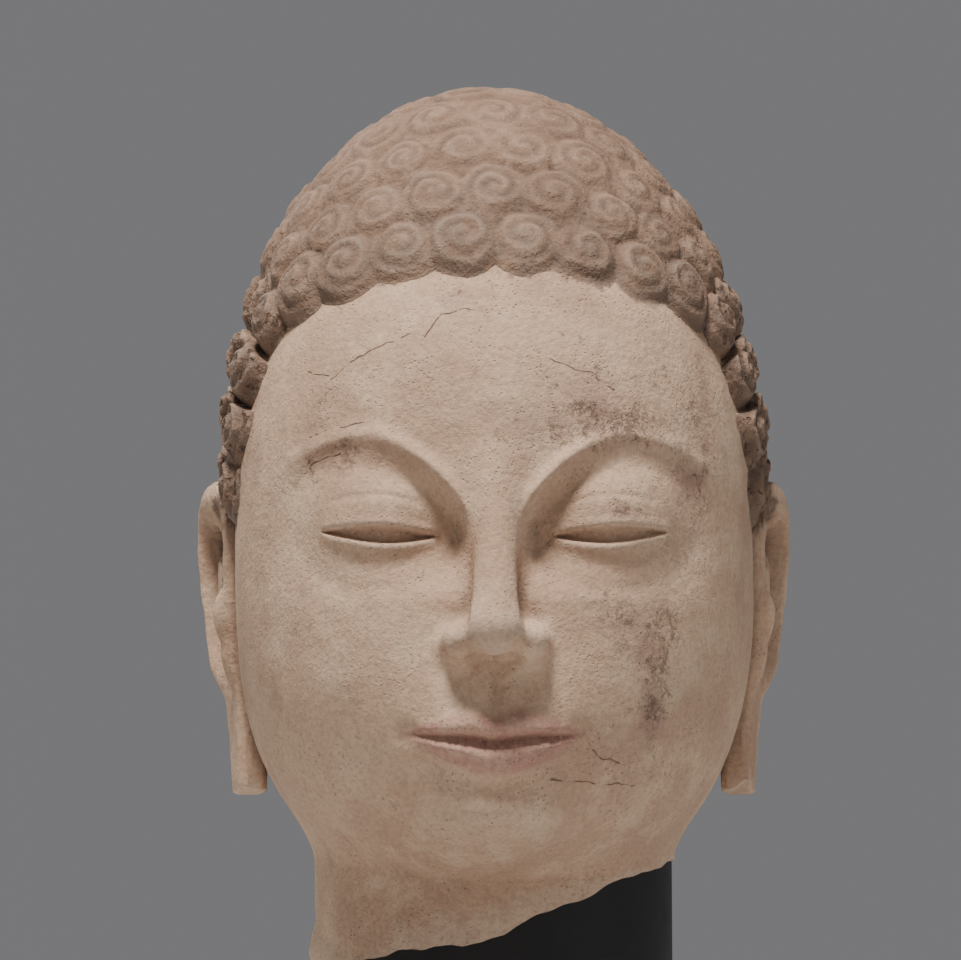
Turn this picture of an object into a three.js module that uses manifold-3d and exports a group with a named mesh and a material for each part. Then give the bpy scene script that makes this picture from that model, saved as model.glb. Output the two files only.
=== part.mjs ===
// A carved stone head with snail-shell curls, long ears and lowered eyes, broken off slantwise
// at the neck. It rests on a black post whose top is cut to fit the break, and the post stands on
// a square foot. Millimetres, +Z up, the face looks along -Y, and the origin is under the foot.
import * as THREE from "three";
import { ConvexGeometry } from "three/addons/geometries/ConvexGeometry.js";
import { mergeVertices } from "three/addons/utils/BufferGeometryUtils.js";
import Module from "manifold-3d";

// Driving sizes, in millimetres
const FACE_HEIGHT = 276; // chin to hairline, three equal thirds
const POST_INSET = 0.5; // the post's side stands this far inside the neck's
const POST_HEIGHT = 122; // foot's top to the chin's level, before the break is fitted
const SEAT_GAP = 0.35; // between the break and the post, and between the post and the foot
const FOOT_WIDTH = 236;
const FOOT_THICKNESS = 16;
const FOOT_CORNER = 10; // the foot's upright corners are cut off this far
const FOOT_EDGE = 2; // and its long edges this far

// The carving is set out in thirds of the face: 0 at the chin, 1 under the nose, 2 at the brows,
// 3 at the hairline. x is across, y is from front to back.
const THIRD = FACE_HEIGHT / 3;
const CHIN_LEVEL = FOOT_THICKNESS + SEAT_GAP + POST_HEIGHT;
const MIDDLE = new THREE.Vector3(0, 0, 1.75); // every ray of the head starts here
const FACE = {
  widest: 1.75, up: 1.8, down: 1.8, side: 1.285, front: 1.37, back: 1.3, squareFront: 2.35, squareBack: 2.1,
  sideUp: 2.3, sideDown: 3.1, frontUp: 2.9, frontDown: 5.5, backUp: 2.4, backDown: 2.4,
};
const HAIR = {
  widest: 2.2, up: 1.87, down: 1.75, side: 1.4, front: 1.4, back: 1.46, squareFront: 2.0, squareBack: 2.0,
  sideUp: 1.92, sideDown: 2.2, frontUp: 1.6, frontDown: 2.2, backUp: 2.3, backDown: 2.6,
};
const LEAN = 0.018; // the hair leans this much to the left of the picture for each third of its height
const NECK = { side: 0.885, front: 0.8, back: 0.95, top: 1.2, bottom: -0.9, foldAt: -0.34, fold: 0.02 };
// The break is nearly a plane: its height at the axis, how it rises to the right and to the back
const BREAK = { height: -0.047, toRight: 0.3, toBack: 0.2, rough: 0.022 };
const CURL = { rows: 11, pitch: 0.31, radius: 0.172, worn: 0.075, deep: 0.11, edge: 0.5 };
const CROWN_TILT = THREE.MathUtils.degToRad(45); // the rows of curls close round a point behind the top
const EAR = {
  top: 2.08, bottom: 0.52, topX: 1.305, bottomX: 1.22, y: 0.16, halfWidth: 0.29, lobeHalf: 0.165,
  flareTop: 0.42, flareBottom: 0.15, rootTop: 0.16, rootBottom: 0.075, outer: 0.075, crest: 0.27, lobeFrom: 0.66,
};

const wasm = await Module();
wasm.setup();

// Small functions for carving
const fade = (low, high, x) => {
  const t = Math.min(Math.max((x - low) / (high - low), 0), 1);
  return t * t * (3 - 2 * t);
};
const bell = (x, width) => Math.exp(-((x / width) ** 2));
const mound = (x, z, atX, atZ, acrossX, acrossZ, power) =>
  Math.max(1 - ((x - atX) / acrossX) ** 2 - ((z - atZ) / acrossZ) ** 2, 0) ** power;
const join = (a, b, round) => {
  const near = Math.max(round - Math.abs(a - b), 0) / round;
  return Math.min(a, b) - (near * near * round) / 4;
};
const cut = (a, b, round) => -join(-a, b, round);

// How far p stands out of a smooth ovoid, whose level sections are rounded by the square values
function ovoid(x, y, z, form) {
  const above = z > form.widest;
  const reach = above ? form.up : form.down;
  const t = Math.abs(z - form.widest) / reach;
  const size = (full, power) => full * Math.sqrt(Math.max(1 - t ** power, 1e-6));
  const side = size(form.side, above ? form.sideUp : form.sideDown);
  const depth = y < 0
    ? size(form.front, above ? form.frontUp : form.frontDown)
    : size(form.back, above ? form.backUp : form.backDown);
  const square = y < 0 ? form.squareFront : form.squareBack;
  const rho = ((Math.abs(x) / side) ** square + (Math.abs(y) / depth) ** square) ** (1 / square);
  const radius = rho > 1e-6 ? Math.hypot(x, y) / rho : Math.min(side, depth);
  return Math.max((rho - 1) * radius, (t - 1) * reach);
}

function ellipsoid(x, y, z, at, radii) {
  const q = [(x - at[0]) / radii[0], (y - at[1]) / radii[1], (z - at[2]) / radii[2]];
  const k0 = Math.hypot(...q);
  const k1 = Math.hypot(q[0] / radii[0], q[1] / radii[1], q[2] / radii[2]);
  return (k0 * (k0 - 1)) / Math.max(k1, 1e-6);
}

function taperedRod(x, y, z, from, to, fromRadius, toRadius) {
  const along = to.map((v, i) => v - from[i]);
  const rel = [x - from[0], y - from[1], z - from[2]];
  const dot = rel[0] * along[0] + rel[1] * along[1] + rel[2] * along[2];
  const t = Math.min(Math.max(dot / (along[0] ** 2 + along[1] ** 2 + along[2] ** 2), 0), 1);
  const off = Math.hypot(rel[0] - t * along[0], rel[1] - t * along[1], rel[2] - t * along[2]);
  return off - (fromRadius + (toRadius - fromRadius) * t);
}

// The lines that the features follow, for x to either side
const browLine = (x) => 2.1 - (x < 0.64 ? 0.34 * ((0.64 - x) / 0.5) ** 2 : 0.2 * ((x - 0.64) / 0.5) ** 2);
const EYE = { inner: 0.265, length: 0.56, level: 1.63, rise: 0.035, above: 0.018, below: 0.055 };
const LIPS = { half: 0.4, level: 0.66, rise: 0.04 };
const lidLine = (x, bow) => {
  const along = Math.min(Math.max((x - EYE.inner) / EYE.length, 0), 1);
  return EYE.level + EYE.rise * along + bow * Math.sin(Math.PI * along);
};
const lipLine = (x) => LIPS.level + LIPS.rise * Math.min(x / LIPS.half, 1) ** 2;
const lipTaper = (x) => Math.max(1 - (x / LIPS.half) ** 2, 0.02) ** 0.6;

// Brows, lids and cheeks: how far each is carved forward of the plain ovoid
function browsAndLids(x, z) {
  const brow = browLine(x);
  const hollow = fade(0.02, -0.16, z - brow) * fade(1.3, 1.66, z) * fade(0.08, 0.2, x) * fade(1.2, 0.5, x);
  const slit = fade(0.01, -0.02, z - lidLine(x, EYE.above)) * fade(-0.01, 0.02, z - lidLine(x, -EYE.below));
  const span = fade(0, 0.04, x - EYE.inner) * fade(0.02, -0.02, x - EYE.inner - EYE.length);
  return 0.05 * mound(x, z, 0.66, 1.08, 0.55, 0.6, 1.5)
    - 0.15 * hollow * (0.5 + 0.5 * bell(x - 0.28, 0.26))
    + 0.02 * bell(z - brow - 0.015, 0.05) * fade(0.1, 0.2, x) * fade(1.2, 0.8, x)
    + 0.16 * mound(x, z, 0.545, 1.73, 0.4, 0.33, 1.15)
    - 0.045 * slit * span;
}

// Lips and chin, in the same way
function lipsAndChin(x, z) {
  const line = lipLine(x);
  const taper = lipTaper(x);
  const fullness = fade(1.05, 0.5, x / LIPS.half);
  const upper = z > line ? mound(0, z, 0, line + 0.065 * taper, 1, 0.09 * taper, 0.6) : 0;
  const lower = z > line ? 0 : mound(0, z, 0, line - 0.075 * taper, 1, 0.1 * taper, 0.6);
  return 0.075 * mound(x, z, 0, 0.72, 0.58, 0.46, 1.5)
    + 0.23 * mound(x, z, 0, 0.26, 0.46, 0.33, 1.4)
    - 0.045 * bell(x, 0.26) * bell(z - 0.43, 0.085)
    + fullness * (0.08 * upper + 0.09 * lower - 0.035 * bell(z - line, 0.018));
}

function faceField(x, y, z) {
  const across = Math.abs(x);
  const carved = (browsAndLids(across, z) + lipsAndChin(across, z)) * fade(-0.25, -0.7, y);
  const skull = ovoid(x, y + carved, z, FACE);
  const bridge = taperedRod(across, y, z, [0, -1.31, 1.95], [0, -1.535, 1.2], 0.08, 0.12);
  const tip = ellipsoid(across, y, z, [0, -1.555, 1.165], [0.14, 0.14, 0.115]);
  const wing = ellipsoid(across, y, z, [0.15, -1.44, 1.115], [0.11, 0.15, 0.1]);
  const nostril = ellipsoid(across, y, z, [0.085, -1.49, 1.025], [0.05, 0.08, 0.045]);
  const nose = join(join(bridge, tip, 0.06), wing, 0.05);
  return cut(join(skull, nose, 0.09), nostril, 0.03);
}

function neckField(x, y, z) {
  const swell = NECK.fold * bell(z - NECK.foldAt, 0.16);
  const depth = (y < 0 ? NECK.front : NECK.back) + swell;
  const side = NECK.side + swell;
  const rho = Math.hypot(x / side, y / depth);
  const radius = Math.hypot(x, y) / Math.max(rho, 1e-6);
  return Math.max((rho - 1) * radius, z - NECK.top, NECK.bottom - z);
}

// The distance from MIDDLE along a ray to where a field turns from inside to outside
function reachAlong(direction, field) {
  let near = 0.2;
  let far = 4;
  for (let step = 0; step < 30; step += 1) {
    const mid = (near + far) / 2;
    const p = direction.clone().multiplyScalar(mid).add(MIDDLE);
    if (field(p.x, p.y, p.z) < 0) near = mid;
    else far = mid;
  }
  return (near + far) / 2;
}
const surfacePoint = (direction, field) => direction.clone().multiplyScalar(reachAlong(direction, field)).add(MIDDLE);
const hairField = (x, y, z) => ovoid(x + LEAN * Math.max(z - HAIR.widest, 0), y, z, HAIR);

// The hair is a cap of rows. A direction in it is an angle from the crown and a turn round the crown.
function capDirection(fromCrown, turn) {
  const crown = new THREE.Vector3(0, Math.sin(CROWN_TILT), Math.cos(CROWN_TILT));
  const forward = new THREE.Vector3(0, -Math.cos(CROWN_TILT), Math.sin(CROWN_TILT));
  const right = new THREE.Vector3(1, 0, 0);
  return crown.multiplyScalar(Math.cos(fromCrown))
    .addScaledVector(forward, Math.cos(turn) * Math.sin(fromCrown))
    .addScaledVector(right, Math.sin(turn) * Math.sin(fromCrown));
}

// The hairline's angle from the crown: high over the temples, low before the ears
function hairline(turn) {
  const t = THREE.MathUtils.radToDeg(Math.abs(Math.atan2(Math.sin(turn), Math.cos(turn))));
  const degrees = 89 - 8 * bell(t - 46, 17) + 6 * bell(t - 75, 12) - 5 * bell(t - 98, 14) + 2 * bell(t - 130, 20);
  return THREE.MathUtils.degToRad(degrees);
}

// Curl centres along one row, at even steps. The first row has a gap at the middle of the forehead.
function rowOfCurls(row) {
  const share = 1 - (row + 0.5) / CURL.rows;
  const steps = 360;
  const samples = Array.from({ length: steps + 1 }, (_, i) => {
    const turn = (i / steps) * 2 * Math.PI;
    return surfacePoint(capDirection(hairline(turn) * share, turn), hairField);
  });
  const length = [0];
  for (let i = 1; i <= steps; i += 1) length.push(length[i - 1] + samples[i].distanceTo(samples[i - 1]));
  const count = Math.max(Math.round(length[steps] / CURL.pitch), 4);
  return Array.from({ length: count }, (_, i) => {
    const wanted = ((i + ((row + 1) % 2) / 2) / count) * length[steps];
    let k = 1;
    while (k < steps && length[k] < wanted) k += 1;
    const between = (wanted - length[k - 1]) / (length[k] - length[k - 1]);
    return samples[k - 1].clone().lerp(samples[k], between);
  });
}

function makeCurls() {
  const centres = Array.from({ length: CURL.rows }, (_, row) => rowOfCurls(row)).flat();
  centres.push(surfacePoint(capDirection(0, 0), hairField));
  return centres.map((centre) => {
    const direction = centre.clone().sub(MIDDLE).normalize();
    const at = surfacePoint(direction, hairField);
    const slope = (axis) => {
      const step = new THREE.Vector3().setComponent(axis, 0.01);
      const ahead = at.clone().add(step);
      const behind = at.clone().sub(step);
      return hairField(ahead.x, ahead.y, ahead.z) - hairField(behind.x, behind.y, behind.z);
    };
    const normal = new THREE.Vector3(slope(0), slope(1), slope(2)).normalize();
    const aside = fade(0.4, 0.8, Math.hypot(direction.x, Math.max(direction.y, 0)));
    const height = CURL.worn + (CURL.deep - CURL.worn) * aside;
    return { at, direction, normal, height };
  });
}
const curls = makeCurls();

// Each curl is a dome whose top touches the hair's outer form. They are worn low over the forehead
// and deeper at the sides and back, and the hair falls away beyond the last of them.
function curlsField(x, y, z) {
  const p = new THREE.Vector3(x, y, z);
  const direction = p.clone().sub(MIDDLE).normalize();
  let nearest = curls[0];
  for (const curl of curls) if (curl.direction.dot(direction) > nearest.direction.dot(direction)) nearest = curl;
  const rel = p.sub(nearest.at);
  const rise = rel.dot(nearest.normal);
  const share = Math.sqrt(Math.max(rel.lengthSq() - rise * rise, 0)) / CURL.radius;
  return hairField(x, y, z) + nearest.height * share ** 2.2 + CURL.edge * Math.min(Math.max(share - 1, 0), 0.5);
}

const headField = (x, y, z) =>
  join(join(faceField(x, y, z), neckField(x, y, z), 0.14), curlsField(x, y, z), 0.02);

// Points of the face in rows that follow its features: lips, lids, brows and nose
function featurePoints() {
  const points = [];
  const onFace = (x, z) => [x, -x].forEach((side) => {
    let outside = -2.2;
    let inside = -0.5;
    for (let step = 0; step < 30; step += 1) {
      const mid = (outside + inside) / 2;
      if (faceField(side, mid, z) > 0) outside = mid;
      else inside = mid;
    }
    points.push(new THREE.Vector3(side, inside, z));
  });
  [0, 0.12, 0.27, 0.43, 0.6, 0.76, 0.9, 1.02, 1.15].forEach((share) => {
    const x = share * LIPS.half;
    [0.2, 0.15, 0.11, 0.065, 0.022, 0, -0.025, -0.075, -0.125, -0.165, -0.22].forEach((off) => {
      onFace(x, lipLine(x) + off * Math.max(lipTaper(x), 0.25));
    });
  });
  [-0.1, 0.03, 0.14, 0.3, 0.5, 0.7, 0.86, 0.97, 1.1].forEach((share) => {
    const x = EYE.inner + share * EYE.length;
    [0.3, 0.21, 0.12, 0.05, 0.01].forEach((off) => onFace(x, lidLine(x, EYE.above) + off));
    [-0.01, -0.05, -0.11, -0.19].forEach((off) => onFace(x, lidLine(x, -EYE.below) + off));
    if (share > 0.1 && share < 0.9) onFace(x, (lidLine(x, EYE.above) + lidLine(x, -EYE.below)) / 2);
  });
  [0.12, 0.2, 0.3, 0.42, 0.55, 0.69, 0.83, 0.97, 1.1].forEach((x) => {
    [0.08, 0.02, -0.06, -0.13].forEach((off) => onFace(x, browLine(x) + off));
  });
  [1.9, 1.8, 1.7, 1.6, 1.5, 1.41, 1.33, 1.26, 1.2, 1.14, 1.09, 1.05].forEach((z) => {
    [0, 0.05, 0.1, 0.15, 0.2, 0.26, 0.33].forEach((x) => onFace(x, z));
  });
  [0, 0.06, 0.12, 0.18].forEach((x) => [-1.46, -1.54].forEach((y) => {
    points.push(new THREE.Vector3(x, y, 1.03), new THREE.Vector3(-x, y, 1.03));
  }));
  return points;
}

// Where the head's surface is sampled: on each curl, its shoulder and the valleys round it,
// closely over the features, and widely over the cheeks, ears' roots and neck
function sampleDirections() {
  const kept = [];
  const add = (direction, spacing) => {
    const clear = Math.cos(spacing);
    if (kept.every((other) => other.dot(direction) < clear)) kept.push(direction.clone());
  };
  const neighbourReach = CURL.pitch * 1.45;
  curls.forEach((curl) => add(curl.direction, 0.01));
  curls.forEach((a, i) => curls.slice(i + 1).forEach((b, j) => {
    if (a.at.distanceTo(b.at) > neighbourReach) return;
    add(a.direction.clone().add(b.direction).normalize(), 0.035);
    curls.slice(i + j + 2).forEach((c) => {
      if (c.at.distanceTo(a.at) > neighbourReach || c.at.distanceTo(b.at) > neighbourReach) return;
      add(a.direction.clone().add(b.direction).add(c.direction).normalize(), 0.035);
    });
  }));
  curls.forEach((curl) => {
    const aside = new THREE.Vector3(0, 0, 1).cross(curl.normal).normalize();
    const upward = curl.normal.clone().cross(aside);
    const shoulder = 0.58 * CURL.radius;
    for (let k = 0; k < 6; k += 1) {
      const turn = (k / 6) * 2 * Math.PI;
      const p = curl.at.clone().addScaledVector(aside, shoulder * Math.cos(turn));
      p.addScaledVector(upward, shoulder * Math.sin(turn));
      add(p.sub(MIDDLE).normalize(), 0.03);
    }
  });
  featurePoints().forEach((p) => add(p.sub(MIDDLE).normalize(), 0.007));
  for (let z = -0.1; z < 3; z += 0.11) {
    for (let x = 0; x < 1.25; x += 0.11) {
      [x, -x].forEach((side) => add(new THREE.Vector3(side, -1.42, z).sub(MIDDLE).normalize(), 0.058));
    }
  }
  for (let rise = -88; rise < 45; rise += 5) {
    const level = THREE.MathUtils.degToRad(rise);
    const around = Math.max(Math.round(66 * Math.cos(level)), 3);
    for (let k = 0; k < around; k += 1) {
      const turn = (k / around) * 2 * Math.PI;
      const p = new THREE.Vector3(Math.sin(turn) * Math.cos(level), -Math.cos(turn) * Math.cos(level), Math.sin(level));
      add(p, rise > -25 ? 0.075 : 0.1);
    }
  }
  return kept;
}

// A closed three.js geometry as a solid for joining and cutting, and back again
function toSolid(geometry) {
  const bare = geometry.clone();
  bare.deleteAttribute("normal");
  bare.deleteAttribute("uv");
  const merged = mergeVertices(bare, 1e-4);
  return new wasm.Manifold(new wasm.Mesh({
    numProp: 3,
    vertProperties: Float32Array.from(merged.attributes.position.array),
    triVerts: Uint32Array.from(merged.index.array),
  }));
}

function toGeometry(solid) {
  const mesh = solid.getMesh();
  const geometry = new THREE.BufferGeometry();
  geometry.setAttribute("position", new THREE.BufferAttribute(Float32Array.from(mesh.vertProperties), 3));
  geometry.setIndex(new THREE.BufferAttribute(Uint32Array.from(mesh.triVerts), 1));
  return geometry;
}

const toMillimetres = (p) => new THREE.Vector3(p.x * THIRD, p.y * THIRD, p.z * THIRD + CHIN_LEVEL);

function headShell() {
  const geometry = mergeVertices(new ConvexGeometry(sampleDirections()).deleteAttribute("normal"), 1e-5);
  const position = geometry.attributes.position;
  const p = new THREE.Vector3();
  for (let i = 0; i < position.count; i += 1) {
    const at = toMillimetres(surfacePoint(p.fromBufferAttribute(position, i).clone().normalize(), headField));
    position.setXYZ(i, at.x, at.y, at.z);
  }
  return toSolid(geometry);
}

// The ear is a slab with a rolled rim, a deep shell and a long flat lobe, on the right for side 1.
// share runs from its top to the lobe's end, across from -1 at its front edge to 1 at its back.
function earReach(share) {
  if (share < EAR.crest) {
    return EAR.halfWidth * Math.sqrt(Math.max(1 - ((EAR.crest - share) / EAR.crest) ** 2, 0.03));
  }
  return EAR.lobeHalf + (EAR.halfWidth - EAR.lobeHalf) * fade(0.8, EAR.crest, share);
}

function earRelief(across, share) {
  const fromEdge = Math.min((1 - Math.abs(across)) * earReach(share), share * 0.9);
  const upperPart = fade(EAR.lobeFrom + 0.06, EAR.lobeFrom - 0.12, share);
  const rim = 0.075 * fade(0.11, 0.05, fromEdge) * upperPart;
  const shell = 0.24 * mound(across, share, -0.22, 0.42, 0.45, 0.2, 0.6);
  const groove = 0.09 * bell(across - 0.56, 0.15) * fade(0.08, 0.2, share) * fade(EAR.lobeFrom, 0.5, share);
  const dip = 0.07 * mound(across, share, 0.05, 0.18, 0.4, 0.1, 0.7);
  const slot = 0.1 * bell(across + 0.12, 0.2) * fade(0.5, 0.6, share) * fade(EAR.lobeFrom + 0.05, 0.6, share);
  return EAR.outer + rim - shell - groove - dip - slot;
}

function ear(side) {
  const geometry = new THREE.BoxGeometry(2, 1, 1, 10, 20, 1);
  const position = geometry.attributes.position;
  for (let i = 0; i < position.count; i += 1) {
    const across = Math.sin((position.getX(i) * Math.PI) / 2);
    const share = 0.5 - position.getY(i);
    const flare = THREE.MathUtils.lerp(EAR.flareTop, EAR.flareBottom, share);
    const soften = Math.sqrt(1 - 0.6 * across ** 10);
    const root = THREE.MathUtils.lerp(EAR.rootTop, EAR.rootBottom, share);
    const lift = position.getZ(i) > 0 ? earRelief(across, share) * soften : -root;
    const p = new THREE.Vector3(
      THREE.MathUtils.lerp(EAR.topX, EAR.bottomX, share),
      EAR.y,
      THREE.MathUtils.lerp(EAR.top, EAR.bottom, share),
    );
    p.addScaledVector(new THREE.Vector3(Math.sin(flare), Math.cos(flare), 0), across * earReach(share));
    p.addScaledVector(new THREE.Vector3(Math.cos(flare), -Math.sin(flare), 0), lift);
    p.x *= side;
    const at = toMillimetres(p);
    position.setXYZ(i, at.x, at.y, at.z);
  }
  if (side < 0) {
    const index = geometry.index.array;
    for (let i = 0; i < index.length; i += 3) [index[i], index[i + 1]] = [index[i + 1], index[i]];
  }
  return toSolid(geometry);
}

// The ground under the break: a block whose top is the broken surface, lowered by drop millimetres
function belowBreak(drop) {
  const span = 3;
  const geometry = new THREE.BoxGeometry(span, span, 1, 18, 18, 1);
  const position = geometry.attributes.position;
  for (let i = 0; i < position.count; i += 1) {
    const x = position.getX(i);
    const y = position.getY(i);
    const wave = Math.sin(5.1 * x + 1.3 * y) + Math.sin(7.3 * y - 2.2 * x) + 0.6 * Math.sin(11 * x + 9 * y);
    const top = BREAK.height + BREAK.toRight * x + BREAK.toBack * y + BREAK.rough * wave;
    const at = toMillimetres(new THREE.Vector3(x, y, top));
    position.setXYZ(i, at.x, at.y, position.getZ(i) > 0 ? at.z - drop : -FOOT_THICKNESS);
  }
  return toSolid(geometry);
}

function stoneHead() {
  return headShell().add(ear(1)).add(ear(-1)).subtract(belowBreak(0));
}

function supportPost() {
  const neckSide = NECK.side * THIRD;
  const neckDepth = ((NECK.front + NECK.back) / 2) * THIRD;
  const height = POST_HEIGHT + THIRD;
  const geometry = new THREE.CylinderGeometry(1, 1, 1, 48).rotateX(Math.PI / 2);
  geometry.scale(neckSide - POST_INSET, neckDepth - POST_INSET, height);
  const backward = ((NECK.back - NECK.front) / 2) * THIRD;
  geometry.translate(0, backward, FOOT_THICKNESS + SEAT_GAP + height / 2);
  return toSolid(geometry).intersect(belowBreak(SEAT_GAP));
}

function supportFoot() {
  const half = FOOT_WIDTH / 2;
  const inner = half - FOOT_CORNER;
  const outline = new THREE.Shape([
    [inner, -half], [half, -inner], [half, inner], [inner, half],
    [-inner, half], [-half, inner], [-half, -inner], [-inner, -half],
  ].map(([x, y]) => new THREE.Vector2(x * (1 - FOOT_EDGE / half), y * (1 - FOOT_EDGE / half))));
  const geometry = new THREE.ExtrudeGeometry(outline, {
    depth: FOOT_THICKNESS - 2 * FOOT_EDGE, bevelSize: FOOT_EDGE, bevelThickness: FOOT_EDGE, bevelSegments: 1,
  });
  return toSolid(geometry.translate(0, 0, FOOT_EDGE));
}

const stone = new THREE.MeshStandardMaterial({ color: 0xa18978, roughness: 0.85, metalness: 0 });
const blackPaint = new THREE.MeshStandardMaterial({ color: 0x0b0b0c, roughness: 0.7, metalness: 0 });

function piece(name, solid, material) {
  const mesh = new THREE.Mesh(toGeometry(solid), material);
  mesh.name = name;
  return mesh;
}

const object = new THREE.Group();
object.add(piece("stone_head", stoneHead(), stone));
object.add(piece("support_post", supportPost(), blackPaint));
object.add(piece("support_foot", supportFoot(), blackPaint));
export default object;
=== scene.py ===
"""A carved stone head on its fitted black post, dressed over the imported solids.

The head is one stone: a sphere pushed out to the carved face, neck and rows of curls, joined with
two carved ears and cut off by the broken neck. Lengths of the carving are in thirds of the face.
"""

import math

import bmesh
import bpy
import numpy as np
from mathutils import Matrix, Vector


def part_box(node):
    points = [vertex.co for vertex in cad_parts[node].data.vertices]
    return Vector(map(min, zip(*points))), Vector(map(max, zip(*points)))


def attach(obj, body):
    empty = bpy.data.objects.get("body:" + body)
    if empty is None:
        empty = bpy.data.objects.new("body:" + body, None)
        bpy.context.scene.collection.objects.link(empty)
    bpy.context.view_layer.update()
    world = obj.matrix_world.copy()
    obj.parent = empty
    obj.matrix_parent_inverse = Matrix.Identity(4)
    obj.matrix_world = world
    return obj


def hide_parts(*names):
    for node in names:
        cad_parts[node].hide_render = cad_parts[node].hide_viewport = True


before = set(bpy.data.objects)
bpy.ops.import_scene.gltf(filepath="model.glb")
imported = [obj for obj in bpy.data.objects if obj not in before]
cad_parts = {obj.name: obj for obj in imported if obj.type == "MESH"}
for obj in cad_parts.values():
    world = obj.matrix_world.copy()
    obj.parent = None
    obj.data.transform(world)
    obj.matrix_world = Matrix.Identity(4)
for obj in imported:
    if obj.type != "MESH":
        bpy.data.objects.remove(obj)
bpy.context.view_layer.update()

# the solids' sizes, in metres
THIRD = 0.092
FOOT_TOP = 0.016
FOOT_CORNER, FOOT_EDGE = 0.01, 0.002
CHIN_LEVEL = 0.13835
POST_SIDE, POST_DEPTH, POST_BACK = 0.08092, 0.08, 0.0069
POST_LENGTH = 0.26
FOOT_GAP, BREAK_GAP = 0.0003, 0.00035

# the carving, in thirds of the face
MIDDLE = np.array([0.0, 0.0, 1.75])
CROWN_TILT = math.radians(45)
CURL_ROWS, CURL_PITCH = 11, 0.31
LEAN = 0.018
BREAK_HEIGHT, BREAK_RIGHT, BREAK_BACK, BREAK_ROUGH = -0.047, 0.3, 0.2, 0.022
NECK_SIDE, NECK_FRONT, NECK_BACK = 0.885, 0.8, 0.95
EAR_TOP, EAR_END, EAR_BACK = 2.08, 0.52, 0.16
EAR_TOP_OUT, EAR_END_OUT = 1.302, 1.217
EAR_TOP_FLARE, EAR_END_FLARE = 0.42, 0.15
EAR_TOP_ROOT, EAR_END_ROOT = 0.16, 0.075

HEAD_TRIANGLES = 190000
PHOTO_HALF_WIDTH = 0.221
CAMERA_AWAY = 2.0
rng = np.random.default_rng(7)


# ---- carving tools -------------------------------------------------------------------------


def fade(low, high, x):
    """0 at low and 1 at high, with a soft step between them."""
    t = np.clip((x - low) / (high - low), 0.0, 1.0)
    return t * t * (3.0 - 2.0 * t)


def bell(x, width):
    """1 at nought, falling away on both sides."""
    return np.exp(-((x / width) ** 2))


def mound(x, z, at_x, at_z, across, high, power):
    """A round swelling seen from the front, 1 at its middle and 0 past its edge."""
    return np.maximum(1.0 - ((x - at_x) / across) ** 2 - ((z - at_z) / high) ** 2, 0.0) ** power


def join(a, b, r):
    """Two bodies as one, with a fillet of about r where they meet."""
    near = np.maximum(r - np.abs(a - b), 0.0) / r
    return np.minimum(a, b) - near * near * r * 0.25


def cut(a, b, r):
    """The first body less the second, with its edge rounded by about r."""
    return -join(-a, b, r)


def reach(t, power):
    return np.sqrt(np.maximum(1.0 - np.abs(t) ** power, 1e-6))


def ovoid(x, y, z, widest, up, down, side, front, back, square, powers):
    """Distance outside an ovoid. Square rounds its level sections, powers its outline up and down."""
    above = z > widest
    t = np.abs(z - widest) / np.where(above, up, down)
    w = side * np.where(above, reach(t, powers[0]), reach(t, powers[1]))
    f = front * np.where(above, reach(t, powers[2]), reach(t, powers[3]))
    b = back * np.where(above, reach(t, powers[4]), reach(t, powers[5]))
    depth = np.where(y < 0, f, b)
    n = np.where(y < 0, square[0], square[1])
    rho = ((np.abs(x) / w) ** n + (np.abs(y) / depth) ** n) ** (1.0 / n)
    radius = np.where(rho > 1e-6, np.hypot(x, y) / np.maximum(rho, 1e-6), np.minimum(w, depth))
    return np.maximum((rho - 1.0) * radius, (t - 1.0) * np.where(above, up, down))


def egg(x, y, z, at, radii):
    """Distance outside an ellipsoid."""
    q = [(x - at[0]) / radii[0], (y - at[1]) / radii[1], (z - at[2]) / radii[2]]
    k0 = np.sqrt(q[0] ** 2 + q[1] ** 2 + q[2] ** 2)
    k1 = np.sqrt((q[0] / radii[0]) ** 2 + (q[1] / radii[1]) ** 2 + (q[2] / radii[2]) ** 2)
    return k0 * (k0 - 1.0) / np.maximum(k1, 1e-6)


def rod(x, y, z, a, b, ra, rb):
    """Distance outside a round rod from a to b that swells from ra to rb."""
    ab = np.array(b) - np.array(a)
    t = ((x - a[0]) * ab[0] + (y - a[1]) * ab[1] + (z - a[2]) * ab[2]) / (ab @ ab)
    t = np.clip(t, 0.0, 1.0)
    off = np.sqrt((x - a[0] - t * ab[0]) ** 2 + (y - a[1] - t * ab[1]) ** 2 + (z - a[2] - t * ab[2]) ** 2)
    return off - (ra + (rb - ra) * t)


CHANCE = rng.uniform(-1, 1, 4096)


def uneven(x, y, z, size):
    """Soft random lumps of about this size, from -1 to 1."""
    spot = np.stack([x, y, z], axis=1) / size + 100.0
    cell = np.floor(spot).astype(np.int64)
    part = spot - cell
    part = part * part * (3 - 2 * part)
    total = np.zeros(len(spot))
    for corner in range(8):
        step = np.array([corner & 1, corner >> 1 & 1, corner >> 2 & 1])
        at = cell + step
        pick = (at[:, 0] * 73856093 ^ at[:, 1] * 19349663 ^ at[:, 2] * 83492791) & 4095
        total += np.prod(np.where(step == 1, part, 1 - part), axis=1) * CHANCE[pick]
    return total


# ---- the face --------------------------------------------------------------------------------


def brow_line(ax):
    return 2.1 - np.where(ax < 0.64, 0.34 * ((0.64 - ax) / 0.5) ** 2, 0.2 * ((ax - 0.64) / 0.5) ** 2)


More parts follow.
